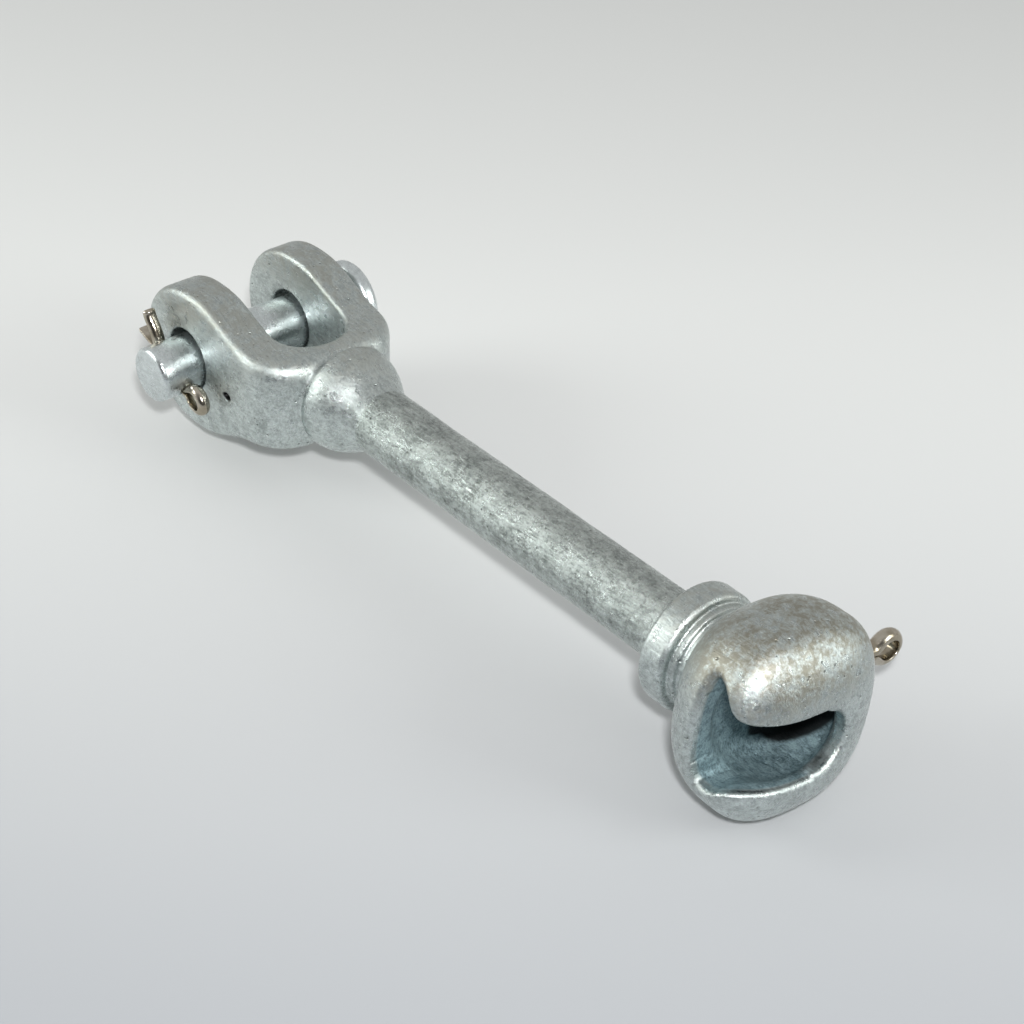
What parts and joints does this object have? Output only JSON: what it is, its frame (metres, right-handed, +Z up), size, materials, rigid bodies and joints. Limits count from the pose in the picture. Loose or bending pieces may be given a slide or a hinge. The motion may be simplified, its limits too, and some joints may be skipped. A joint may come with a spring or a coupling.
{
  "type": "socket-clevis extension link",
  "caption": "Galvanised forged link with a forked clevis and headed cross pin at one end and a side-entry ball socket at the other, each locked by a split pin.",
  "frame": {"origin": "where the axis of the clevis bores crosses the shank's axis", "axes": "+X along the shank from the clevis to the socket, +Y along the clevis bores towards the pin's head, +Z up as the link lies"},
  "size_m": [0.2462, 0.0833, 0.0546],
  "materials": {
    "galvanised_forging": "hot-dip galvanised, satin, lightly pitted",
    "galvanised_bar": "hot-dip galvanised, mottled and coarser than the forgings",
    "galvanised_pin": "hot-dip galvanised, smooth satin",
    "stainless_wire": "bright drawn stainless"
  },
  "bodies": {
    "link": {"fork_forging": "galvanised_forging", "shank_bar": "galvanised_bar", "socket_forging": "galvanised_forging"},
    "pin": {"clevis_pin": "galvanised_pin"},
    "pin_cotter": {"clevis_cotter": "stainless_wire"},
    "socket_lock": {"socket_cotter": "stainless_wire"}
  },
  "joints": [
    {"name": "clevis_pin_spin", "type": "hinge", "parent": "link", "child": "pin", "pos_m": [0, 0, -0.00095], "axis": [0, 1, 0], "continuous": true},
    {"name": "clevis_cotter_play", "type": "slide", "parent": "pin", "child": "pin_cotter", "axis": [-0.8572, 0, 0.515], "range_m": [-0.0005, 0.0004]},
    {"name": "socket_cotter_slide", "type": "slide", "parent": "link", "child": "socket_lock", "axis": [0, 0.9914, -0.1305], "range_m": [-0.012, 0.0015]}
  ]
}
